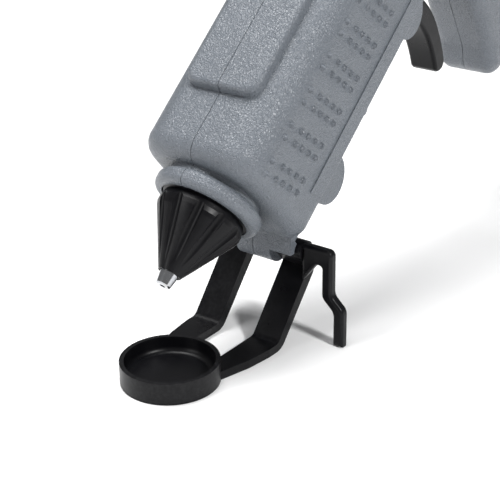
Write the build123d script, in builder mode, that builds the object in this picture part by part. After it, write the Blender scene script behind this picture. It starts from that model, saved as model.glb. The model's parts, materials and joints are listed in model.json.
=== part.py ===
from build123d import *
import os
from math import cos, radians, sin, tan

# Heavy-duty glue gun, resting nose down on its own drip stand.
# World frame: origin under the middle of the drip dish, on the table; the nose
# points to -X, the gun's left side is -Y, +Z is up.  Lengths are millimetres.
# Gun frame: s runs back along the barrel axis from the collar's front lip,
# u runs up, square to the axis, and both lie in the symmetry plane.

os.makedirs("parts", exist_ok=True)

# ---------------------------------------------------------------- driving dimensions
NOSE_PITCH = 40.0          # barrel axis below the horizontal
LIP_X = 27.2               # centre of the collar's front lip, in the world frame
LIP_Z = 72.3

WALL = 2.5                 # moulded shell thickness
SEAM_GAP = 0.15            # each shell stops this far from the symmetry plane
RUN = 0.06                 # radial clearance of a running fit
SLIP = 0.35                # gap between pieces that move past each other

BODY_HALF = 31.0           # barrel half width
BODY_TOP = 30.0
BODY_BOTTOM = -38.0
BODY_FRONT = 10.0
BODY_BACK = 246.0
TOP_CORNER = 15.0
BOTTOM_CORNER = 10.0
BAND_TOP = -22.0           # step along the side, above the inset lower band
BAND_DEPTH = 1.0
BAND_START = 30.0
RIB_H = 1.2                # thin rib along the step
RIB_PROUD = 0.6

COLLAR_R = 25.3
COLLAR_LENGTH = 8.0
NECK_R = 21.8
SOCKET_R = 20.9            # where the shroud's spigot sits
SPIGOT_R = 20.7

SHROUD_BASE_R = 22.7
SHROUD_TIP_R = 5.3
SHROUD_FRONT = -33.0
FLUTES = 12

NOZZLE_TIP = -39.0
NOZZLE_TIP_R = 2.6
NOZZLE_STEM_R = 4.3
NOZZLE_HEX = 13.0          # across flats
NOZZLE_BORE_R = 1.3

CHAMBER_R = 13.0
CHAMBER_END = 66.0
STICK_BORE_R = 6.2         # takes an 11.2 mm to 12 mm stick
SPIGOT_END = 78.0

SPINE_START = 42.0         # raised panel on top of the barrel
SPINE_END = 218.0
SPINE_HALF = 20.0
SPINE_TOP = 34.5

LOBE_S = 49.0              # rounded lobe under the front of the barrel
LOBE_U = -44.0
LOBE_R = 12.5
LOBE_HALF = 22.0
CHEEK_HALF = 19.0          # half width of the cheeks that hold the trigger pin
SLOT_HALF = 8.6            # slot the trigger swings in

TRIGGER_S = 145.0          # trigger pivot
TRIGGER_U = -46.0
TRIGGER_HALF = 8.0
TRIGGER_TRAVEL = 15.0      # degrees
DRIVE_U = -22.0            # height of the pin that the trigger pushes
DRIVE_ARM = DRIVE_U - TRIGGER_U
DRIVE_S = TRIGGER_S + DRIVE_ARM * tan(radians(TRIGGER_TRAVEL / 2))
FEED_STROKE = 2 * (DRIVE_S - TRIGGER_S)
PIN_R = 2.0

CARRIAGE_FRONT = 107.0
CARRIAGE_LENGTH = 24.0
CARRIAGE_HALF = 14.0
BAR_IN = 7.6               # push bars, inner and outer distance from the middle
BAR_OUT = 10.6

HANDLE_HALF = 18.0
HANDLE_ROUND = 8.0
FOOT_ROUND = 8.5           # corners of the handle's foot, seen from the side
HANDLE_INSET = 4.0         # cavity inset fore and aft, so the rounded corners keep their thickness

HINGE_X = 70.5             # stand hinge axis, in the world frame
HINGE_Z = 42.3
HUB_R = 5.0
HOOD_R = 8.6
ARM_IN = 10.0
ARM_OUT = 24.5
ARM_THICK = 4.6
ARM_FLOOR = 4.0            # thickness of the flat part on the table
ARM_PITCH = 49.0
ARM_FOOT_X = 50.5          # where the sloping part meets the table
DISH_R = 22.5
DISH_H = 10.3
DISH_WALL = 2.0
LEG_IN = 34.9              # finger leg, inner and outer distance from the middle
LEG_OUT = 40.3
LEG_SHIFT = 6.5            # sideways step of the leg's S bend
LEG_THICK = 5.0
LEG_BEND = 5.0             # radius of the S bend's corners
LEG_ROUND = 1.6

DOME_R = 1.9               # rows of small domes for grip, on each side of the barrel
DOME_H = 1.8
DOME_ROWS = 6
DOME_START = 20.9
ROW_PITCH = 18.3           # rows stand in pairs
ROW_GAP = 6.4
ROW_LEAN = 0.25            # shift along the barrel per unit of height
DOME_HEIGHTS = (15.6, 7.0, 1.0, -5.2, -11.5)

SCREW_HEAD_R = 3.0
SCREW_SHANK_R = 1.5
BOSS_R = 4.0
BARREL_SCREWS = [(22.0, -29.0), (82.0, -31.5), (76.0, 17.0), (156.0, 17.0), (187.0, -28.0), (226.0, 15.0)]
HANDLE_SCREWS = [(214.0, -62.0), (193.0, -141.0)]

INLET_R = 6.6              # stick inlet at the back
REAR_U = -25.0             # height of the power switch on the back
SWITCH_W = 22.0
SWITCH_H = 15.0
LAMP_U = 19.5
CORD_S = 208.0             # where the cord enters the foot of the handle
CORD_BORE_R = 3.6
CORD_U = -162.6            # outer face of the cord inlet
CLAMP_U = -139.0
TERMINAL_S = 207.0
TERMINAL_U = -117.0

# ---------------------------------------------------------------- planes and axes
AXIS_DIR = Vector(cos(radians(NOSE_PITCH)), 0, sin(radians(NOSE_PITCH)))
UP_DIR = Vector(-sin(radians(NOSE_PITCH)), 0, cos(radians(NOSE_PITCH)))
LIP = Vector(LIP_X, 0, LIP_Z)
GUN_AXIS = Axis(LIP, AXIS_DIR)
HINGE_OFFSET = Vector(HINGE_X - LIP_X, 0, HINGE_Z - LIP_Z)
HINGE_S = HINGE_OFFSET.dot(AXIS_DIR)
HINGE_U = HINGE_OFFSET.dot(UP_DIR)


def across(s):
    """Plane square to the barrel axis: x towards +Y, y up, normal to the back."""
    return Plane(origin=LIP + AXIS_DIR * s, x_dir=(0, 1, 0), z_dir=AXIS_DIR)


def beside(y=0.0):
    """Plane parallel to the symmetry plane at Y = y: x is s, y is u, normal to -Y."""
    return Plane(origin=LIP + Vector(0, y, 0), x_dir=AXIS_DIR, z_dir=(0, -1, 0))


def above(u):
    """Plane parallel to the barrel axis at height u: x is s, y towards +Y."""
    return Plane(origin=LIP + UP_DIR * u, x_dir=AXIS_DIR, z_dir=UP_DIR)


def finish(piece, name):
    """Label a finished piece and write its STEP file."""
    piece.part.label = name
    export_step(piece.part, f"parts/{name}.step")


def barrel_face(inset):
    """Outline of the barrel across its axis, inset from the outer skin."""
    width = 2 * (BODY_HALF - inset)
    height = BODY_TOP - BODY_BOTTOM - 2 * inset
    with BuildSketch() as face:
        with Locations((0, (BODY_TOP + BODY_BOTTOM) / 2)):
            Rectangle(width, height)
        fillet(face.vertices().group_by(Axis.Y)[-1], TOP_CORNER - inset)
        fillet(face.vertices().group_by(Axis.Y)[0], BOTTOM_CORNER - inset)
    return face.sketch


def handle_face(inset):
    """Side outline of the handle in s and u; inset moves its front, back and foot inwards."""
    front_points = [(194, -28), (197, -62), (193, -102), (188, -134)]
    back_points = [(228, -150), (224, -132), (227, -100), (234, -62), (242, -28)]
    with BuildSketch() as face:
        with BuildLine():
            front = Spline(*[(s + inset, u) for s, u in front_points])
            back = Spline(*[(s - inset, u) for s, u in back_points])
            Polyline(
                front @ 1, (182 + inset, -146), (184 + inset, -156 + inset),
                (222 - inset, -160 + inset), back @ 0,
            )
            Line(back @ 1, front @ 0)
        make_face()
        if not inset:
            fillet(face.vertices().filter_by_position(Axis.Y, -172, -133), FOOT_ROUND)
    return face.sketch


def cylinder_across(s, u, radius, y_from, y_to, mode=Mode.ADD):
    """Cylinder parallel to Y through (s, u), between two Y values."""
    with BuildSketch(beside(y_to)) as disc:
        with Locations((s, u)):
            Circle(radius)
    extrude(disc.sketch, amount=y_to - y_from, mode=mode)


def dome_rows(side):
    """Paired rows of grip domes on one side of the housing, added to the open part."""
    spots = []
    for row in range(2 * DOME_ROWS):
        row_s = DOME_START + (row // 2) * ROW_PITCH + (row % 2) * ROW_GAP
        spots += [(row_s + ROW_LEAN * (1 - height), height) for height in DOME_HEIGHTS]
    root = BODY_HALF - 0.6
    with BuildSketch(beside(side * root)) as dots:
        with Locations(*spots):
            Circle(DOME_R)
    extrude(dots.sketch, amount=-side * (DOME_H + 0.6), taper=30)


# ---------------------------------------------------------------- housing, both halves
with BuildPart() as handle_core:
    with BuildSketch(beside()):
        add(handle_face(HANDLE_INSET))
    extrude(amount=HANDLE_HALF - WALL - 0.5, both=True)

with BuildPart() as handle_skin:
    with BuildSketch(beside()):
        add(handle_face(0))
    extrude(amount=HANDLE_HALF, both=True)
    sides = handle_skin.faces().filter_by(Axis.Y)
    fillet(sides.edges(), HANDLE_ROUND)

with BuildPart() as housing:
    # barrel with rounded ends
    with BuildSketch(across(BODY_FRONT)):
        add(barrel_face(0))
    extrude(amount=BODY_BACK - BODY_FRONT)
    fillet(housing.edges().group_by(GUN_AXIS)[0], 8.5)
    fillet(housing.edges().group_by(GUN_AXIS)[-1], 9)
    # the lower band of each side is set in by a small step
    for side in (-1, 1):
        with BuildSketch(across(BAND_START)):
            with Locations((side * BODY_HALF, BAND_TOP)):
                Rectangle(2 * BAND_DEPTH, 30, align=(Align.CENTER, Align.MAX))
        extrude(amount=BODY_BACK, mode=Mode.SUBTRACT)
        with BuildSketch(across(BAND_START)):
            with Locations((side * (BODY_HALF - 0.5 + RIB_PROUD / 2), BAND_TOP)):
                Rectangle(1 + RIB_PROUD, RIB_H, align=(Align.CENTER, Align.MIN))
        extrude(amount=BODY_BACK - BAND_START - 14)
    # raised spine panel on top
    with BuildSketch(above(BODY_TOP - 4)):
        with Locations(((SPINE_START + SPINE_END) / 2, 0)):
            RectangleRounded(SPINE_END - SPINE_START, 2 * SPINE_HALF, 7)
    extrude(amount=SPINE_TOP - BODY_TOP + 4, taper=6)
    top_face = housing.faces().filter_by(Plane(origin=LIP, z_dir=UP_DIR)).sort_by(Axis(LIP, UP_DIR))[-1]
    fillet(top_face.edges(), 2.5)
    # handle
    add(handle_skin.part)
    # collar ring and neck
    with BuildSketch(beside()) as ring_profile:
        with BuildLine():
            Polyline(
                (-0.6, 0), (-0.6, COLLAR_R), (-0.6 + COLLAR_LENGTH, COLLAR_R),
                (-0.6 + COLLAR_LENGTH, NECK_R), (BODY_FRONT + 2, NECK_R), (BODY_FRONT + 2, 0),
                close=True,
            )
        make_face()
        rim = ring_profile.vertices().group_by(Axis.Y)[-1]
        fillet(rim, 3.3)
    revolve(axis=GUN_AXIS)
    # front lobe, and the cheeks that hold the trigger pin
    for s, half in ((LOBE_S, LOBE_HALF), (TRIGGER_S - 1, CHEEK_HALF)):
        with BuildSketch(beside()):
            with Locations((s, LOBE_U)):
                Circle(LOBE_R)
                Rectangle(2 * LOBE_R, 20, align=(Align.CENTER, Align.MIN))
        extrude(amount=half, both=True)
    # hood over the stand hinge, joined to the underside of the nose
    with BuildSketch(Plane.XZ):
        with Locations((HINGE_X, HINGE_Z)):
            Circle(HOOD_R)
        with BuildLine():
            Polyline(
                (HINGE_X - HOOD_R, HINGE_Z), (HINGE_X - HOOD_R + 1, HINGE_Z + 16),
                (HINGE_X + HOOD_R + 6, HINGE_Z + 22), (HINGE_X + HOOD_R, HINGE_Z), close=True,
            )
        make_face()
    extrude(amount=21.5, both=True)

    # hollow barrel and handle
    with BuildSketch(across(BODY_FRONT + WALL)):
        add(barrel_face(WALL + BAND_DEPTH))
    extrude(amount=BODY_BACK - BODY_FRONT - 2 * WALL, mode=Mode.SUBTRACT)
    add(handle_core.part, mode=Mode.SUBTRACT)
    with BuildSketch(beside()):
        with Locations((LOBE_S, LOBE_U)):
            Circle(LOBE_R - WALL)
            Rectangle(2 * (LOBE_R - WALL), 12, align=(Align.CENTER, Align.MIN))
    extrude(amount=LOBE_HALF - WALL, both=True, mode=Mode.SUBTRACT)
    # socket for the shroud and the way through for the melt chamber
    with BuildSketch(beside()):
        with BuildLine():
            Polyline(
                (-2, 0), (-2, SOCKET_R), (2.4, SOCKET_R), (2.4, SOCKET_R + 1), (4.8, SOCKET_R + 1),
                (4.8, SOCKET_R), (7.5, SOCKET_R), (7.5, 15), (14, 15), (14, 0), close=True,
            )
        make_face()
    revolve(axis=GUN_AXIS, mode=Mode.SUBTRACT)
    # slot that the trigger hangs through
    with BuildSketch(beside()):
        with BuildLine():
            Polyline((137.5, -16), (137.5, -60), (180, -60), (180, -37), (162, -33), (158, -16), close=True)
        make_face()
    extrude(amount=SLOT_HALF, both=True, mode=Mode.SUBTRACT)

    # bulkheads: front and back of each insulator, and two for the guide tube
    for s, hole_r in ((13.0, 14.4), (21.2, 14.4), (58.0, 14.4), (65.2, 14.4), (168.0, 8.7), (218.0, 8.7)):
        with BuildSketch(across(s)):
            add(barrel_face(WALL))
            Circle(hole_r, mode=Mode.SUBTRACT)
            if s < 50:
                with Locations((0, 0)):
                    Rectangle(9, 19, align=(Align.CENTER, Align.MIN), mode=Mode.SUBTRACT)
        extrude(amount=1.8)
    # rails for the feed carriage
    for side in (-1, 1):
        with BuildSketch(across(96)):
            with Locations((side * (CARRIAGE_HALF + SLIP), -2)):
                Rectangle(30, 3, align=(Align.MIN if side > 0 else Align.MAX, Align.CENTER))
            with Locations((side * 12, -25 - SLIP)):
                Rectangle(2, 12, align=(Align.CENTER, Align.MAX))
            add(barrel_face(WALL), mode=Mode.INTERSECT)
        extrude(amount=40)
    # screw bosses
    for s, u in BARREL_SCREWS:
        cylinder_across(s, u, BOSS_R, -BODY_HALF + WALL, BODY_HALF - WALL)
    for s, u in HANDLE_SCREWS:
        cylinder_across(s, u, BOSS_R, -HANDLE_HALF + WALL, HANDLE_HALF - WALL)
    # screw holes: recessed heads on the right, blind pilot holes on the left
    for places, half in ((BARREL_SCREWS, BODY_HALF), (HANDLE_SCREWS, HANDLE_HALF)):
        for s, u in places:
            cylinder_across(s, u, SCREW_HEAD_R + 0.3, half - 8, half + 2, Mode.SUBTRACT)
            cylinder_across(s, u, SCREW_SHANK_R + 0.05, -12, half, Mode.SUBTRACT)
    # blind seats for the trigger pin
    cylinder_across(TRIGGER_S, TRIGGER_U, PIN_R + 0.02, -19, 19, Mode.SUBTRACT)

    # hinge: outside the middle lug only a front hood is left, so the arms can swing back
    for side in (-1, 1):
        with BuildSketch(beside(side * (ARM_IN - SLIP))):
            with Locations((HINGE_S, HINGE_U)):
                Circle(HUB_R + SLIP + 0.2)
                with Locations(Location((0, 0), NOSE_PITCH * -1)):
                    Rectangle(2 * HOOD_R + 2, 20, align=(Align.CENTER, Align.MAX))
            with Locations((HINGE_S, -43)):
                Rectangle(22, 24, align=(Align.MIN, Align.MAX))
        extrude(amount=-side * 30, mode=Mode.SUBTRACT)
    cylinder_across(HINGE_S, HINGE_U, PIN_R + 0.02, -ARM_IN, ARM_IN, Mode.SUBTRACT)

    # foot of the handle: shelf for the terminal block and post for the cord clamp
    with BuildSketch(beside()):
        with Locations((TERMINAL_S, TERMINAL_U - 7)):
            Rectangle(40, 2)
        with Locations((CORD_S - 6.5, CLAMP_U)):
            Rectangle(5, 7)
        add(handle_face(HANDLE_INSET - 0.5), mode=Mode.INTERSECT)
    extrude(amount=HANDLE_HALF - WALL, both=True)
    for side in (-1, 1):
        with BuildSketch(across(CORD_S - 12)):
            with Locations((side * 8, CLAMP_U)):
                Circle(1.45)
        extrude(amount=10, mode=Mode.SUBTRACT)

    # openings at the back: stick inlet, switch, lamp; at the handle's foot: cord inlet
    with BuildSketch(across(BODY_BACK - 8)):
        Circle(10.05)
        with Locations((0, REAR_U)):
            Rectangle(SWITCH_W + 0.1, SWITCH_H + 0.1)
        with Locations((0, LAMP_U)):
            Circle(3.05)
    extrude(amount=12, mode=Mode.SUBTRACT)
    with BuildSketch(above(CORD_U - 4)):
        with Locations((CORD_S, 0)):
            Circle(6.05)
    extrude(amount=20, mode=Mode.SUBTRACT)
    for side in (-1, 1):
        dome_rows(side)

with BuildPart() as left_housing:
    add(housing.part)
    split(bisect_by=Plane.XZ.offset(SEAM_GAP), keep=Keep.TOP)
finish(left_housing, "left_housing")

with BuildPart() as right_housing:
    add(housing.part)
    split(bisect_by=Plane.XZ.offset(-SEAM_GAP), keep=Keep.BOTTOM)
finish(right_housing, "right_housing")

# ---------------------------------------------------------------- housing screws
with BuildPart() as housing_screws:
    for places, half in ((BARREL_SCREWS, BODY_HALF), (HANDLE_SCREWS, HANDLE_HALF)):
        for s, u in places:
            cylinder_across(s, u, SCREW_HEAD_R, half - 8, half - 5.6)
            cylinder_across(s, u, 1.6, half - 6.6, half - 5.6, Mode.SUBTRACT)
            cylinder_across(s, u, SCREW_SHANK_R, -10, half - 8)
finish(housing_screws, "housing_screws")


def turned(points):
    """Solid of revolution about the barrel axis from (s, radius) points, added to the open part."""
    with BuildSketch(beside()) as profile:
        with BuildLine():
            Polyline(*points, close=True)
        make_face()
    revolve(profile.sketch, axis=GUN_AXIS)


# ---------------------------------------------------------------- nose
CONE_SLOPE = (SHROUD_BASE_R - SHROUD_TIP_R) / (-1.9 - SHROUD_FRONT)
SHROUD_WALL = 4.4          # measured along the radius
FLUTE_R = 2.4
FLUTE_START_R = 24.9       # distance of a flute's axis from the barrel axis, at the back and front
FLUTE_END_R = 6.8
FLUTE_SECTOR = 360 / FLUTES
with BuildPart() as shroud_panel:
    with BuildSketch(beside()) as shroud_profile:
        with BuildLine():
            Polyline(
                (5.0, 17.2), (5.0, SPIGOT_R), (4.6, SPIGOT_R), (4.6, SPIGOT_R + 0.9), (2.6, SPIGOT_R + 0.9),
                (2.6, SPIGOT_R), (0.0, SPIGOT_R), (-0.6, 19.3), (-4.0, 20.0), (-6.2, 20.0),
                (-8.0, SHROUD_BASE_R - CONE_SLOPE * 6.1),
                (SHROUD_FRONT, SHROUD_TIP_R), (SHROUD_FRONT, NOZZLE_STEM_R + 0.4),
                (-26.5, NOZZLE_STEM_R + 0.4), (-1.9, SHROUD_BASE_R - SHROUD_WALL), (-1.0, 17.2),
                close=True,
            )
        make_face()
    revolve(shroud_profile.sketch, axis=GUN_AXIS, revolution_arc=FLUTE_SECTOR)
    # the flute runs out towards the tip, because its axis leans less than the cone's side
    flute_start = LIP + AXIS_DIR * 2.0 + UP_DIR * FLUTE_START_R
    flute_end = LIP + AXIS_DIR * -36.0 + UP_DIR * FLUTE_END_R
    with BuildSketch(Plane(origin=flute_start, x_dir=(0, 1, 0), z_dir=flute_end - flute_start)) as flute_disc:
        Circle(FLUTE_R)
    flute = extrude(flute_disc.sketch, amount=(flute_end - flute_start).length, mode=Mode.PRIVATE)
    add(flute.rotate(GUN_AXIS, FLUTE_SECTOR / 2), mode=Mode.SUBTRACT)

# the panels stay separate faces of one solid
with BuildPart() as nozzle_shroud:
    panels = [shroud_panel.part.rotate(GUN_AXIS, (index - 0.5) * FLUTE_SECTOR) for index in range(FLUTES)]
    add(panels, clean=False)
finish(nozzle_shroud, "nozzle_shroud")

with BuildPart() as nozzle:
    turned([
        (NOZZLE_TIP, 0), (NOZZLE_TIP, 2.8), (NOZZLE_TIP + 0.6, 3.4), (SHROUD_FRONT, NOZZLE_STEM_R),
        (-20, NOZZLE_STEM_R), (-20, 5), (-14, 5), (-14, 4.9), (-6, 4.9), (-6, 0),
    ])
    with BuildSketch(across(-20)):
        RegularPolygon(radius=NOZZLE_HEX / 2, side_count=6, major_radius=False)
    extrude(amount=6)
    with BuildSketch(across(NOZZLE_TIP)):
        Circle(NOZZLE_BORE_R)
    extrude(amount=40, mode=Mode.SUBTRACT)
    with BuildSketch(across(-26)):
        Circle(2.2)
    extrude(amount=25, mode=Mode.SUBTRACT)
finish(nozzle, "nozzle")

# ---------------------------------------------------------------- melt chamber and heating
with BuildPart() as melt_chamber:
    turned([
        (-14, 5.0), (-14, 9.2), (-8, 9.2), (-1, CHAMBER_R), (CHAMBER_END, CHAMBER_R),
        (CHAMBER_END, 8.2), (SPIGOT_END, 8.2), (SPIGOT_END, STICK_BORE_R), (10, STICK_BORE_R),
        (0, 2.2), (-5.5, 2.2), (-5.5, 5.0),
    ])
    # pocket for the heater along the top
    with BuildSketch(across(24)):
        with Locations((0, 21)):
            Rectangle(17, 11, align=(Align.CENTER, Align.MAX))
        Circle(STICK_BORE_R + 2, mode=Mode.SUBTRACT)
        with Locations((0, 17)):
            Rectangle(14.6, 4, mode=Mode.SUBTRACT)
    extrude(amount=33)
finish(melt_chamber, "melt_chamber")

with BuildPart() as heater_element:
    with BuildSketch(across(25)):
        with Locations((0, 17)):
            RectangleRounded(14.2, 3.7, 0.8)
    extrude(amount=32)
finish(heater_element, "heater_element")

with BuildPart() as heater_clip:
    with BuildSketch(across(36)):
        with Locations((0, 17)):
            Rectangle(19.2, 10.2)
        with Locations((0, 21.05)):
            Rectangle(17.1, 20, align=(Align.CENTER, Align.MAX), mode=Mode.SUBTRACT)
        Circle(CHAMBER_R + 0.1, mode=Mode.SUBTRACT)
    extrude(amount=9)
finish(heater_clip, "heater_clip")

with BuildPart() as thermostat:
    with BuildSketch(above(-CHAMBER_R)):
        with Locations((31, 0)):
            Circle(6.4)
    extrude(amount=-3.4)
    with BuildSketch(above(-CHAMBER_R - 3.4)):
        with Locations((31, 0)):
            Circle(4.2)
    extrude(amount=-1.4)
    with BuildSketch(above(-CHAMBER_R - 1.6)):
        with Locations((31, 0)):
            Rectangle(14.6, 4)
    extrude(amount=-0.8)
finish(thermostat, "thermostat")

with BuildPart() as thermal_fuse:
    with BuildSketch(across(27)):
        with Locations((CHAMBER_R + 2.1, 0)):
            Circle(2)
    extrude(amount=12)
    with BuildSketch(across(24)):
        with Locations((CHAMBER_R + 2.1, 0)):
            Circle(0.5)
    extrude(amount=24)
finish(thermal_fuse, "thermal_fuse")

with BuildPart() as front_insulator:
    turned([(15, CHAMBER_R), (15, 19.5), (21, 19.5), (21, CHAMBER_R)])
finish(front_insulator, "front_insulator")

with BuildPart() as rear_insulator:
    turned([(60, CHAMBER_R), (60, 17), (65, 17), (65, CHAMBER_R)])
finish(rear_insulator, "rear_insulator")

with BuildPart() as inlet_sleeve:
    turned([(68, 8.2), (68, 10.5), (96, 10.5), (96, 6.5), (79, 6.5), (79, 8.2)])
finish(inlet_sleeve, "inlet_sleeve")

with BuildPart() as sleeve_clip:
    turned([(71, 10.5), (71, 11.4), (75, 11.4), (75, 10.5)])
    with BuildSketch(across(71)):
        with Locations((11.6, 3.5)):
            Rectangle(4, 1.2)
        with Locations((11.6, 0)):
            Rectangle(4, 1.2)
        Circle(10.5, mode=Mode.SUBTRACT)
    extrude(amount=4)
finish(sleeve_clip, "sleeve_clip")

# ---------------------------------------------------------------- feed
JAW_S = 113.0
JAW_U = -18.0
JAW_PIN_R = 1.5
with BuildPart() as feed_carriage:
    with BuildSketch(across(CARRIAGE_FRONT)):
        with Locations((0, -6.5)):
            RectangleRounded(2 * CARRIAGE_HALF, 37, 2)
        Circle(STICK_BORE_R + 0.7, mode=Mode.SUBTRACT)
    extrude(amount=CARRIAGE_LENGTH)
    with BuildSketch(beside()):
        with Locations((109, -26)):
            Rectangle(19, 21, align=(Align.MIN, Align.MIN))
    extrude(amount=5.2, both=True, mode=Mode.SUBTRACT)
    # push bars reach back to the drive pin
    bar_start = CARRIAGE_FRONT + CARRIAGE_LENGTH - 1
    bar_end = DRIVE_S + 4
    for side in (-1, 1):
        with BuildSketch(beside(side * BAR_IN)):
            with Locations(((bar_start + bar_end) / 2, DRIVE_U)):
                Rectangle(bar_end - bar_start, 6)
        extrude(amount=-side * (BAR_OUT - BAR_IN))
    cylinder_across(DRIVE_S, DRIVE_U, PIN_R, -12, 12, Mode.SUBTRACT)
    cylinder_across(JAW_S, JAW_U, JAW_PIN_R, -12, 12, Mode.SUBTRACT)
finish(feed_carriage, "feed_carriage")

with BuildPart() as drive_pin:
    cylinder_across(DRIVE_S, DRIVE_U, PIN_R, -BAR_OUT, BAR_OUT)
finish(drive_pin, "drive_pin")

with BuildPart() as jaw_pin:
    cylinder_across(JAW_S, JAW_U, JAW_PIN_R, -12, 12)
finish(jaw_pin, "jaw_pin")

with BuildPart() as grip_jaw:
    with BuildSketch(beside()):
        with Locations((JAW_S, JAW_U)):
            Circle(3.6)
        with BuildLine():
            Polyline(
                (110.6, -15.6), (115.4, -20.6), (121.6, -11.6), (121.2, -8.4), (120.0, -9.0),
                (119.2, -7.2), (118.0, -8.2), (117.0, -7.4), (115.6, -8.8), close=True,
            )
        make_face()
        with Locations((JAW_S, JAW_U)):
            Circle(JAW_PIN_R + RUN, mode=Mode.SUBTRACT)
    extrude(amount=4.8, both=True)
finish(grip_jaw, "grip_jaw")

# ---------------------------------------------------------------- trigger
with BuildPart() as trigger:
    # finger lever
    with BuildSketch(beside()):
        with BuildLine():
            front = Spline((142, -51), (152, -60), (158.5, -76), (158, -94), (154, -108))
            foot = ThreePointArc(front @ 1, (158, -113.5), (164, -110))
            back = Spline(foot @ 1, (169, -94), (170.5, -76), (165, -56), (157, -42))
            Line(back @ 1, front @ 0)
        make_face()
        with Locations((TRIGGER_S, TRIGGER_U)):
            Circle(6)
    extrude(amount=TRIGGER_HALF, both=True)
    lever_sides = trigger.faces().filter_by(Axis.Y)
    fillet(lever_sides.edges().filter_by_position(Axis(LIP, UP_DIR), -125, -58, (True, True)), 2.0)
    # forked arm that pushes the drive pin, leaning back by half the travel
    lean = -TRIGGER_TRAVEL / 2
    with BuildSketch(beside()):
        with Locations(Location((TRIGGER_S, TRIGGER_U), lean)):
            Rectangle(11, DRIVE_ARM + 5, align=(Align.CENTER, Align.MIN))
            with Locations((0, DRIVE_ARM - 3.5)):
                Rectangle(2 * PIN_R + 0.3, 12, align=(Align.CENTER, Align.MIN), mode=Mode.SUBTRACT)
    extrude(amount=6, both=True)
    cylinder_across(TRIGGER_S, TRIGGER_U, PIN_R + RUN, -20, 20, Mode.SUBTRACT)
    # recess for the torsion spring on the left
    with BuildSketch(beside(-5.2)):
        with Locations((TRIGGER_S, TRIGGER_U)):
            Circle(7)
    extrude(amount=6, mode=Mode.SUBTRACT)
finish(trigger, "trigger")

with BuildPart() as trigger_pin:
    cylinder_across(TRIGGER_S, TRIGGER_U, PIN_R, -18.8, 18.8)
finish(trigger_pin, "trigger_pin")

SPRING_WIRE_R = 0.45
with BuildPart() as trigger_spring:
    coil_start = LIP + AXIS_DIR * TRIGGER_S + UP_DIR * TRIGGER_U + Vector(0, -5.75, 0)
    with BuildLine() as coil:
        Helix(pitch=1.05, height=2.1, radius=3.2, center=coil_start, direction=(0, -1, 0))
    with BuildSketch(Plane(origin=coil.line @ 0, z_dir=coil.line % 0)):
        Circle(SPRING_WIRE_R)
    sweep(path=coil.line)
finish(trigger_spring, "trigger_spring")

# ---------------------------------------------------------------- back of the gun
with BuildPart() as guide_tube:
    turned([(136, 6.9), (136, 8.6), (BODY_BACK - 10, 8.6), (BODY_BACK - 10, 6.9)])
finish(guide_tube, "guide_tube")

with BuildPart() as inlet_collar:
    turned([
        (BODY_BACK - 10, INLET_R), (BODY_BACK - 10, 10), (BODY_BACK, 10), (BODY_BACK, 14.5), (BODY_BACK + 3.5, 14),
        (BODY_BACK + 4.5, 12.8), (BODY_BACK + 4.5, 9.2), (BODY_BACK + 1, INLET_R),
    ])
finish(inlet_collar, "inlet_collar")

ROCKER_S = BODY_BACK - 3.5
TRUNNION_R = 1.2
with BuildPart() as switch_frame:
    with BuildSketch(across(BODY_BACK - 16)):
        with Locations((0, REAR_U)):
            Rectangle(SWITCH_W, SWITCH_H)
    extrude(amount=16)
    with BuildSketch(across(BODY_BACK)):
        with Locations((0, REAR_U)):
            RectangleRounded(SWITCH_W + 3, SWITCH_H + 3, 1.5)
    extrude(amount=1.6)
    with BuildSketch(across(BODY_BACK - 9)):
        with Locations((0, REAR_U)):
            Rectangle(17.2, 12.4)
    extrude(amount=12, mode=Mode.SUBTRACT)
    cylinder_across(ROCKER_S, REAR_U, TRUNNION_R + RUN, -9.8, 9.8, Mode.SUBTRACT)
finish(switch_frame, "switch_frame")

with BuildPart() as switch_rocker:
    with BuildSketch(beside()):
        with BuildLine():
            Polyline(
                (ROCKER_S - 2.2, REAR_U - 1.5), (ROCKER_S + 1.5, REAR_U - 4.2), (ROCKER_S + 6.8, REAR_U - 4.2),
                (ROCKER_S + 5.1, REAR_U), (ROCKER_S + 5.1, REAR_U + 4.2), (ROCKER_S + 1.5, REAR_U + 4.2),
                (ROCKER_S - 2.2, REAR_U + 1.5), close=True,
            )
        make_face()
    extrude(amount=8.2, both=True)
    cylinder_across(ROCKER_S, REAR_U, TRUNNION_R, -9.5, 9.5)
finish(switch_rocker, "switch_rocker")

with BuildPart() as pilot_lens:
    with BuildSketch(across(BODY_BACK - 6)):
        with Locations((0, LAMP_U)):
            Circle(3)
    extrude(amount=6)
    with BuildSketch(across(BODY_BACK)):
        with Locations((0, LAMP_U)):
            Circle(4)
    extrude(amount=2.6)
    fillet(pilot_lens.edges().group_by(GUN_AXIS)[-1], 1.8)
finish(pilot_lens, "pilot_lens")

# ---------------------------------------------------------------- handle fittings
with BuildPart() as terminal_block:
    with BuildSketch(beside()):
        with Locations((TERMINAL_S, TERMINAL_U)):
            Rectangle(12, 12)
    extrude(amount=12, both=True)
    with BuildSketch(above(TERMINAL_U + 6)):
        with Locations((TERMINAL_S, 0)):
            with GridLocations(0, 8, 1, 3):
                Circle(2.1)
    extrude(amount=-7, mode=Mode.SUBTRACT)
finish(terminal_block, "terminal_block")

with BuildPart() as terminal_screws:
    with BuildSketch(above(TERMINAL_U + 4.5)):
        with Locations((TERMINAL_S, 0)):
            with GridLocations(0, 8, 1, 3):
                Circle(1.9)
    extrude(amount=-5.5)
finish(terminal_screws, "terminal_screws")

with BuildPart() as cord_clamp:
    with BuildSketch(across(CORD_S + 4)):
        with Locations((0, CLAMP_U)):
            RectangleRounded(23, 6, 1)
            with Locations((-8, 0), (8, 0)):
                Circle(1.45, mode=Mode.SUBTRACT)
    extrude(amount=3)
finish(cord_clamp, "cord_clamp")

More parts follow.
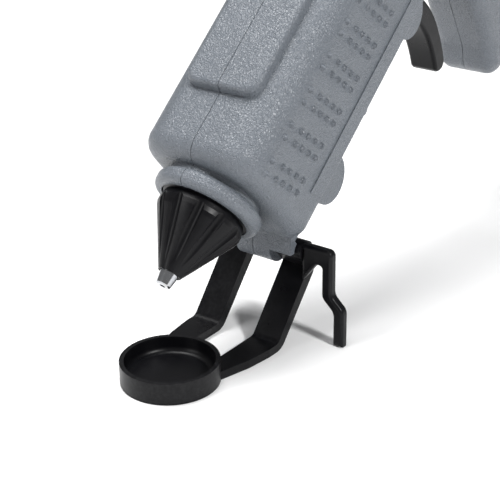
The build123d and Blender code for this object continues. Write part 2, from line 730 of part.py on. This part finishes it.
with BuildPart() as clamp_screws:
    with BuildSketch(across(CORD_S + 7)):
        with Locations((-8, CLAMP_U), (8, CLAMP_U)):
            Circle(2.6)
    extrude(amount=1.8)
    with BuildSketch(across(CORD_S - 8)):
        with Locations((-8, CLAMP_U), (8, CLAMP_U)):
            Circle(1.4)
    extrude(amount=15)
finish(clamp_screws, "clamp_screws")

with BuildPart() as cord_inlet:
    with BuildSketch(above(CORD_U)):
        with Locations((CORD_S, 0)):
            Circle(8)
    extrude(amount=3)
    with BuildSketch(above(CORD_U + 3)):
        with Locations((CORD_S, 0)):
            Circle(6)
    extrude(amount=12.5)
    with BuildSketch(above(CORD_U - 0.5)):
        with Locations((CORD_S, 0)):
            Circle(CORD_BORE_R)
    extrude(amount=17, mode=Mode.SUBTRACT)
finish(cord_inlet, "cord_inlet")

# ---------------------------------------------------------------- drip stand
slope = Vector(cos(radians(ARM_PITCH)), sin(radians(ARM_PITCH)))
across_slope = Vector(-slope.Y, slope.X)
arm_top = Vector(ARM_FOOT_X, 0) + slope * 40.5
neck = arm_top + across_slope * ARM_THICK
bend = Vector(ARM_FOOT_X, 0) + across_slope * ARM_THICK
bend += slope * ((ARM_FLOOR - bend.Y) / slope.Y)
with BuildPart() as leg:
    # finger leg on the left: bar, web and S-shaped rod
    with BuildSketch(Plane.YZ.offset(HINGE_X - 1 - LEG_THICK / 2)) as leg_profile:
        with BuildLine():
            Polyline(
                (-24, HINGE_Z + HUB_R - 0.4), (-LEG_OUT, HINGE_Z + HUB_R - 0.4), (-LEG_OUT, 24.5),
                (-LEG_OUT - LEG_SHIFT, 18.5), (-LEG_OUT - LEG_SHIFT, 0), (-LEG_IN - LEG_SHIFT, 0),
                (-LEG_IN - LEG_SHIFT, 16.5), (-LEG_IN, 22.5), (-LEG_IN, HINGE_Z - HUB_R + 1),
                (-31.6, HINGE_Z - HUB_R + 1), (-24, HINGE_Z - HUB_R - 9), close=True,
            )
        make_face()
        bends = leg_profile.vertices().filter_by_position(Axis.Y, 14, 25).filter_by_position(Axis.X, -50, -30)
        fillet(bends, LEG_BEND)
        shoulder = leg_profile.vertices().sort_by_distance((-LEG_OUT, HINGE_Z + HUB_R))[0]
        fillet(shoulder, 3)
        crotch = leg_profile.vertices().filter_by_position(Axis.Y, HINGE_Z - HUB_R + 0.9, HINGE_Z - HUB_R + 1.1)
        fillet(crotch, 1.6)
    extrude(amount=LEG_THICK)
    fillet(leg.faces().filter_by(Axis.X).edges(), LEG_ROUND)

with BuildPart() as drip_stand:
    # two strap arms, seen from the side
    with BuildSketch(Plane.XZ) as arm_profile:
        with BuildLine():
            Polyline(
                (12, 0), (ARM_FOOT_X, 0), (arm_top.X, arm_top.Y), (HINGE_X + HUB_R, HINGE_Z - 2),
                (HINGE_X - HUB_R, HINGE_Z - 1), (neck.X - 1.5, neck.Y), (bend.X, bend.Y),
                (12, ARM_FLOOR), close=True,
            )
        make_face()
        fillet(arm_profile.vertices().sort_by_distance((ARM_FOOT_X, 0))[0], 8)
        fillet(arm_profile.vertices().sort_by_distance((bend.X, bend.Y))[0], 4)
        fillet(arm_profile.vertices().sort_by_distance((arm_top.X, arm_top.Y))[0], 5)
        with Locations((HINGE_X, HINGE_Z)):
            Circle(HUB_R)
    for side in (-1, 1):
        extrude(arm_profile.sketch.moved(Location((0, side * (ARM_IN + ARM_OUT) / 2, 0))),
                amount=(ARM_OUT - ARM_IN) / 2, both=True)
    # the straps narrow where they run into the dish
    with BuildSketch(Plane.XY.offset(-1)):
        for side in (-1, 1):
            with BuildLine():
                Polyline((42, side * 24.6), (28, side * 22.8), (8, side * 17.6), (8, side * 28),
                         (42, side * 28), close=True)
            make_face()
    extrude(amount=9, mode=Mode.SUBTRACT)
    # drip dish
    with BuildSketch(Plane.XY):
        Circle(DISH_R)
    extrude(amount=DISH_H)
    with BuildSketch(Plane.XY.offset(3)):
        Circle(DISH_R - DISH_WALL - 1.0)
    extrude(amount=DISH_H, taper=-7, mode=Mode.SUBTRACT)
    floor_edge = drip_stand.edges().filter_by(GeomType.CIRCLE).filter_by(
        lambda edge: abs(edge.center().Z - 3) < 0.1 and edge.radius > 15)
    fillet(floor_edge, 3)
    add(leg.part)
    cylinder_across(HINGE_S, HINGE_U, PIN_R + RUN, -22, 30, Mode.SUBTRACT)
finish(drip_stand, "drip_stand")

with BuildPart() as stand_pin:
    cylinder_across(HINGE_S, HINGE_U, PIN_R, -21.8, 24.4)
finish(stand_pin, "stand_pin")
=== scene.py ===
import json
import math

import bpy
from mathutils import Matrix, Vector

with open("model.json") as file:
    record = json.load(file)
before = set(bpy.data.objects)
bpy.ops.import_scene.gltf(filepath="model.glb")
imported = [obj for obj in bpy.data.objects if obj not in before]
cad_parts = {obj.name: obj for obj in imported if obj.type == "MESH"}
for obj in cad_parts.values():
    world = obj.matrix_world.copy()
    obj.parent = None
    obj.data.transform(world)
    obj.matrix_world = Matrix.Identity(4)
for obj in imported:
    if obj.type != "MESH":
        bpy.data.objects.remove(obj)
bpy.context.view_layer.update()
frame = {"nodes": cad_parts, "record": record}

MM = 0.001
NOSE_PITCH = math.radians(40)
GUN_TURN = (0, NOSE_PITCH, 0)      # turns a point so that x runs along the barrel

# sockets of the Mix node when it mixes colours
MIX_FACTOR = 0
MIX_A = 6
MIX_B = 7
MIX_RESULT = 2


# ---------------------------------------------------------------- material building
class Shader:
    """A small node graph around one Principled shader, in millimetres of the object's own frame."""

    def __init__(self, name, color, roughness, metallic=0.0):
        self.material = bpy.data.materials.new(name)
        self.material.use_nodes = True
        self.tree = self.material.node_tree
        self.tree.nodes.clear()
        output = self.add("ShaderNodeOutputMaterial")
        self.bsdf = self.add("ShaderNodeBsdfPrincipled")
        self.join(self.bsdf.outputs[0], output.inputs["Surface"])
        self.bsdf.inputs["Base Color"].default_value = (*color, 1)
        self.bsdf.inputs["Roughness"].default_value = roughness
        self.bsdf.inputs["Metallic"].default_value = metallic
        self.roughness = roughness
        self.normal = None
        place = self.add("ShaderNodeTexCoord")
        scale = self.add("ShaderNodeMapping")
        scale.inputs["Scale"].default_value = (1 / MM, 1 / MM, 1 / MM)
        self.join(place.outputs["Object"], scale.inputs["Vector"])
        self.point = scale.outputs["Vector"]

    def add(self, kind, **values):
        node = self.tree.nodes.new(kind)
        for key, value in values.items():
            setattr(node, key, value)
        return node

    def join(self, source, target):
        self.tree.links.new(source, target)

    def noise(self, size, detail=3.0, rough=0.55, point=None):
        """Noise with features about size millimetres across."""
        node = self.add("ShaderNodeTexNoise")
        node.inputs["Scale"].default_value = 1.0 / size
        node.inputs["Detail"].default_value = detail
        node.inputs["Roughness"].default_value = rough
        self.join(point or self.point, node.inputs["Vector"])
        return node.outputs["Fac"]

    def cells(self, size, feature="F1", point=None, smooth=0.6):
        """Distances in a pattern of cells about size millimetres across."""
        node = self.add("ShaderNodeTexVoronoi", feature=feature)
        node.inputs["Scale"].default_value = 1.0 / size
        if feature == "SMOOTH_F1":
            node.inputs["Smoothness"].default_value = smooth
        self.join(point or self.point, node.inputs["Vector"])
        return node.outputs["Distance"]

    def stretched(self, scale, turn=(0, 0, 0)):
        """The point turned and then scaled along each axis."""
        node = self.add("ShaderNodeMapping")
        node.inputs["Rotation"].default_value = turn
        node.inputs["Scale"].default_value = scale
        self.join(self.point, node.inputs["Vector"])
        return node.outputs["Vector"]

    def warped(self, size, amount):
        """The point pushed about by noise."""
        node = self.add("ShaderNodeTexNoise")
        node.inputs["Scale"].default_value = 1.0 / size
        self.join(self.point, node.inputs["Vector"])
        centre = self.add("ShaderNodeVectorMath", operation="SUBTRACT")
        centre.inputs[1].default_value = (0.5, 0.5, 0.5)
        self.join(node.outputs["Color"], centre.inputs[0])
        push = self.add("ShaderNodeVectorMath", operation="SCALE")
        push.inputs["Scale"].default_value = amount
        self.join(centre.outputs["Vector"], push.inputs[0])
        total = self.add("ShaderNodeVectorMath", operation="ADD")
        self.join(self.point, total.inputs[0])
        self.join(push.outputs["Vector"], total.inputs[1])
        return total.outputs["Vector"]

    def ranged(self, value, low, high, to_low, to_high):
        """The value moved from the range low to high into the range to_low to to_high, and clamped."""
        node = self.add("ShaderNodeMapRange")
        limits = {"From Min": low, "From Max": high, "To Min": to_low, "To Max": to_high}
        for name, number in limits.items():
            node.inputs[name].default_value = number
        self.join(value, node.inputs["Value"])
        return node.outputs["Result"]

    def math(self, operation, first, second):
        node = self.add("ShaderNodeMath", operation=operation)
        for socket, value in zip(node.inputs, (first, second)):
            if isinstance(value, (int, float)):
                socket.default_value = value
            else:
                self.join(value, socket)
        return node.outputs[0]

    def bump(self, height, depth):
        """Raises the surface by up to depth millimetres; later calls add to earlier ones."""
        node = self.add("ShaderNodeBump")
        node.inputs["Strength"].default_value = 1.0
        node.inputs["Distance"].default_value = depth * MM
        self.join(height, node.inputs["Height"])
        if self.normal:
            self.join(self.normal, node.inputs["Normal"])
        self.normal = node.outputs["Normal"]
        self.join(self.normal, self.bsdf.inputs["Normal"])

    def tint(self, mask, color):
        """Mixes the colour so far towards another where mask is 1."""
        node = self.add("ShaderNodeMix", data_type="RGBA")
        socket = self.bsdf.inputs["Base Color"]
        if socket.is_linked:
            self.join(socket.links[0].from_socket, node.inputs[MIX_A])
        else:
            node.inputs[MIX_A].default_value = socket.default_value
        node.inputs[MIX_B].default_value = (*color, 1)
        self.join(mask, node.inputs[MIX_FACTOR])
        self.join(node.outputs[MIX_RESULT], socket)

    def rough(self, value, low, high, spread):
        """Roughness from low to high of the value, spread either side of the base roughness."""
        base = self.roughness
        result = self.ranged(value, low, high, base - spread, base + spread)
        self.join(result, self.bsdf.inputs["Roughness"])

    def wear(self, size, threshold, color):
        """Faint patches of handling wear."""
        patches = self.noise(size, detail=8.0, rough=0.7)
        self.tint(self.ranged(patches, threshold, threshold + 0.2, 0.0, 0.55), color)

    def painted_edge_highlight(self, color, amount=0.5):
        """Painted edge highlight: lighter colour on sharp outer corners, broken up by noise."""
        geometry = self.add("ShaderNodeNewGeometry")
        edges = self.ranged(geometry.outputs["Pointiness"], 0.53, 0.62, 0.0, amount)
        broken = self.ranged(self.noise(1.6, detail=5.0), 0.4, 0.65, 0.0, 1.0)
        self.tint(self.math("MULTIPLY", edges, broken), color)


def shade(color, factor, lift=0.0):
    """The colour made darker or lighter, and never above white."""
    return tuple(min(1.0, channel * factor + lift) for channel in color)


def grained_plastic(name, color, roughness=0.33, cell=0.9, depth=0.2):
    """Moulded plastic with a leather-like grain, with painted shade in the grain's hollows and painted
    highlights on its raised specks.
    """
    s = Shader(name, color, roughness)
    warped = s.warped(2.2, 1.7)
    pebbles = s.cells(cell, "SMOOTH_F1", warped, 0.35)
    creases = s.cells(cell * 1.5, "DISTANCE_TO_EDGE", warped)
    fine = s.noise(0.45, detail=3.0)
    painted_shade = shade(color, 0.78)
    light = shade(color, 1.12, 0.01)
    s.tint(s.ranged(s.noise(28.0, detail=4.0), 0.35, 0.68, 0.0, 0.35), light)
    # painted shade: darker towards the pebbles' edges and along the crease lines, the hollows of the
    # grain
    s.tint(s.ranged(pebbles, 0.35, 0.75, 0.0, 0.45), painted_shade)
    s.tint(s.ranged(creases, 0.10, 0.0, 0.0, 0.38), painted_shade)
    # painted highlight: lighter fine specks on the grain's raised points
    s.tint(s.ranged(fine, 0.58, 0.74, 0.0, 0.35), light)
    s.wear(34.0, 0.62, shade(color, 0.86))
    s.rough(fine, 0.3, 0.7, 0.1)
    s.bump(s.ranged(pebbles, 0.0, 0.75, 1.0, 0.0), depth)
    s.bump(s.ranged(creases, 0.0, 0.16, 0.0, 1.0), depth * 0.55)
    s.bump(fine, depth * 0.3)
    return s.material


def satin_plastic(name, color, roughness, grain=0.5, depth=0.012, scuff=(0.006, 0.006, 0.007)):
    """Satin moulded plastic with a faint grain, dust, scuffs and painted edge highlights."""
    s = Shader(name, color, roughness)
    s.bsdf.inputs["Specular IOR Level"].default_value = 0.16
    fine = s.noise(grain, detail=4.0)
    broad = s.noise(9.0, detail=5.0)
    s.tint(s.ranged(broad, 0.42, 0.72, 0.0, 0.45), shade(color, 1.5, 0.0015))
    s.wear(16.0, 0.61, scuff)
    streaks = s.noise(1.0, detail=6.0, rough=0.7, point=s.stretched((0.12, 1.6, 0.12), GUN_TURN))
    s.tint(s.ranged(streaks, 0.66, 0.74, 0.0, 0.22), scuff)
    # painted edge highlight: a lighter colour on the sharp outer corners
    s.painted_edge_highlight(shade(color, 1.6, 0.012), 0.4)
    s.rough(broad, 0.3, 0.7, 0.07)
    s.bump(fine, depth)
    s.bump(s.noise(5.0, detail=2.0), 0.05)
    return s.material


def turned_metal(name, color, heat, roughness=0.14, ring=0.35, depth=0.008):
    """Turned metal with fine rings round the barrel's axis and patches of heat colour."""
    s = Shader(name, color, roughness, metallic=1.0)
    rings = s.noise(1.0, detail=3.0, rough=0.6, point=s.stretched((1.0 / ring, 0.02, 0.02), GUN_TURN))
    cloud = s.noise(4.0, detail=5.0)
    s.tint(s.ranged(cloud, 0.45, 0.75, 0.0, 0.35), shade(color, 0.75))
    s.tint(s.ranged(s.noise(0.5, detail=6.0), 0.64, 0.74, 0.0, 0.3), shade(color, 0.5))
    s.tint(s.ranged(s.noise(6.0, detail=4.0), 0.48, 0.68, 0.0, 0.35), heat)
    s.rough(rings, 0.3, 0.7, 0.06)
    s.bump(rings, depth * 0.4)
    s.bump(s.noise(0.4, detail=4.0), depth * 0.15)
    return s.material


def plain_metal(name, color, roughness=0.3, grain=0.4, depth=0.01):
    """Stamped, drawn or cast metal with grain and stains."""
    s = Shader(name, color, roughness, metallic=1.0)
    fine = s.noise(grain, detail=4.0)
    s.tint(s.ranged(s.noise(3.5, detail=6.0), 0.46, 0.74, 0.0, 0.6), shade(color, 0.55))
    s.tint(s.ranged(fine, 0.6, 0.75, 0.0, 0.4), shade(color, 1.25))
    s.rough(s.noise(2.0, detail=5.0), 0.3, 0.7, 0.1)
    s.bump(fine, depth)
    return s.material


def matte_fill(name, color, roughness=0.65, grain=0.8, depth=0.03, speck=(0.1, 0.08, 0.06)):
    """Ceramic, resin, rubber and nylon: matte with specks and soft unevenness."""
    s = Shader(name, color, roughness)
    fine = s.noise(grain, detail=5.0)
    s.tint(s.ranged(s.noise(6.0, detail=4.0), 0.4, 0.7, 0.0, 0.4), shade(color, 0.8))
    s.tint(s.ranged(s.cells(1.9), 0.16, 0.05, 0.0, 0.35), speck)
    s.wear(11.0, 0.6, shade(color, 1.2, 0.02))
    s.rough(fine, 0.3, 0.7, 0.1)
    s.bump(fine, depth)
    return s.material


def lamp_lens(name, color, roughness=0.14):
    """Ribbed clear lens, cloudy in patches."""
    s = Shader(name, color, roughness)
    s.bsdf.inputs["Transmission Weight"].default_value = 0.55
    s.bsdf.inputs["IOR"].default_value = 1.49
    ribs = s.add("ShaderNodeTexWave", wave_type="BANDS", bands_direction="Y")
    ribs.inputs["Scale"].default_value = 0.32
    s.join(s.point, ribs.inputs["Vector"])
    s.tint(s.ranged(s.noise(1.5, detail=4.0), 0.5, 0.7, 0.0, 0.5), (0.7, 0.2, 0.02))
    s.rough(s.noise(0.8, detail=4.0), 0.3, 0.7, 0.05)
    s.bump(ribs.outputs["Fac"], 0.05)
    return s.material


GREY = (0.118, 0.132, 0.151)
BLACK = (0.0024, 0.0024, 0.0032)

# for each material slot: the function that makes it, and what it is given
FINISHES = {
    "grey_plastic": (grained_plastic, {"color": GREY}),
    "shroud_black": (satin_plastic, {"color": BLACK, "roughness": 0.36}),
    "stand_black": (satin_plastic, {"color": BLACK, "roughness": 0.33}),
    "nozzle_steel": (turned_metal, {"color": (0.42, 0.43, 0.45), "heat": (0.34, 0.3, 0.25)}),
    "screw_steel": (plain_metal, {"color": (0.5, 0.5, 0.51)}),
    "pin_steel": (plain_metal, {"color": (0.6, 0.6, 0.62), "roughness": 0.22, "grain": 0.25}),
    "spring_steel": (plain_metal, {"color": (0.36, 0.36, 0.38), "roughness": 0.36}),
    "fuse_silver": (plain_metal, {"color": (0.66, 0.66, 0.65), "roughness": 0.28}),
    "cast_aluminium": (plain_metal, {
        "color": (0.58, 0.58, 0.58), "roughness": 0.5, "grain": 0.7, "depth": 0.04,
    }),
    "brass": (plain_metal, {"color": (0.72, 0.52, 0.22)}),
    "heater_ceramic": (matte_fill, {"color": (0.72, 0.69, 0.62), "grain": 0.4, "depth": 0.02}),
    "insulator_resin": (matte_fill, {"color": (0.17, 0.075, 0.035), "roughness": 0.55}),
    "silicone": (matte_fill, {"color": (0.42, 0.075, 0.035), "roughness": 0.5, "depth": 0.015}),
    "carriage_plastic": (matte_fill, {
        "color": (0.05, 0.05, 0.055), "roughness": 0.5, "speck": (0.1, 0.1, 0.1),
    }),
    "terminal_white": (matte_fill, {"color": (0.66, 0.66, 0.63), "roughness": 0.45, "depth": 0.012}),
    "rubber_black": (matte_fill, {
        "color": (0.018, 0.018, 0.019), "roughness": 0.8, "speck": (0.05, 0.05, 0.05),
    }),
    "rocker_red": (satin_plastic, {
        "color": (0.42, 0.012, 0.01), "roughness": 0.24, "scuff": (0.5, 0.08, 0.06),
    }),
    "lamp_amber": (lamp_lens, {"color": (0.95, 0.36, 0.05)}),
}
materials = {slot: make(slot, **settings) for slot, (make, settings) in FINISHES.items()}

for part in frame["record"]["subparts"]:
    node = frame["nodes"][part["node"]]
    node.data.materials.clear()
    node.data.materials.append(materials[part["material_slot"]])


# ---------------------------------------------------------------- floor, light and camera
def area_light(name, place, target, size, power):
    data = bpy.data.lights.new(name, "AREA")
    data.shape = "RECTANGLE"
    data.size, data.size_y = size
    data.energy = power
    lamp = bpy.data.objects.new(name, data)
    lamp.location = place
    lamp.rotation_euler = (Vector(target) - Vector(place)).to_track_quat("-Z", "Y").to_euler()
    bpy.context.scene.collection.objects.link(lamp)


FLOOR_HALF = 3.0
FLOOR_GAP = 0.2 * MM               # keeps the floor just clear of the stand's underside
floor_mesh = bpy.data.meshes.new("floor")
corners = [(-FLOOR_HALF, -FLOOR_HALF, 0), (FLOOR_HALF, -FLOOR_HALF, 0),
           (FLOOR_HALF, FLOOR_HALF, 0), (-FLOOR_HALF, FLOOR_HALF, 0)]
floor_mesh.from_pydata(corners, [], [(0, 1, 2, 3)])
floor = bpy.data.objects.new("floor", floor_mesh)
floor.location.z = -FLOOR_GAP
bpy.context.scene.collection.objects.link(floor)
paper = Shader("paper", (0.93, 0.93, 0.93), 0.75)
paper.tint(paper.ranged(paper.noise(60.0), 0.4, 0.6, 0.0, 0.2), (0.91, 0.91, 0.915))
paper.bump(paper.noise(0.5), 0.01)
floor_mesh.materials.append(paper.material)

WORLD_STRENGTH = 0.27
world = bpy.data.worlds.new("studio")
world.use_nodes = True
background = world.node_tree.nodes["Background"]
background.inputs["Color"].default_value = (1, 1, 1, 1)
background.inputs["Strength"].default_value = WORLD_STRENGTH
bpy.context.scene.world = world

BARREL_MIDDLE = (0.08, 0, 0.08)
NOZZLE_AND_DISH = (0.03, 0, 0.05)
area_light("key", place=(-0.1, -1.0, 0.86), target=BARREL_MIDDLE, size=(0.16, 0.16), power=13.0)
area_light("overhead", place=(0.05, 0.3, 1.25), target=BARREL_MIDDLE, size=(0.7, 0.7), power=20.0)
area_light("left_strip", place=(-0.9, 0.35, 0.45), target=NOZZLE_AND_DISH, size=(0.2, 0.6), power=3.0)

scene = bpy.context.scene
scene.view_settings.view_transform = "Standard"
scene.view_settings.look = "None"

CAMERA_SENSOR = 36.0               # mm
CAMERA_LENS = 97.6                 # mm
CAMERA_PLACE = Vector((-0.39507, -0.3432, 0.3060))
CAMERA_AZ = math.radians(-52.97)
CAMERA_EL = math.radians(24.99)
CAMERA_ROLL = math.radians(-0.79)
back = Vector((
    math.sin(CAMERA_AZ) * math.cos(CAMERA_EL),
    -math.cos(CAMERA_AZ) * math.cos(CAMERA_EL),
    math.sin(CAMERA_EL),
))
level_right = Vector((math.cos(CAMERA_AZ), math.sin(CAMERA_AZ), 0))
level_up = back.cross(level_right)
right = level_right * math.cos(CAMERA_ROLL) + level_up * math.sin(CAMERA_ROLL)
top = level_up * math.cos(CAMERA_ROLL) - level_right * math.sin(CAMERA_ROLL)
camera_data = bpy.data.cameras.new("camera")
camera_data.sensor_width = CAMERA_SENSOR
camera_data.lens = CAMERA_LENS
camera = bpy.data.objects.new("camera", camera_data)
turn = Matrix((right, top, back)).transposed().to_4x4()
camera.matrix_world = Matrix.Translation(CAMERA_PLACE) @ turn
scene.collection.objects.link(camera)
scene.camera = camera
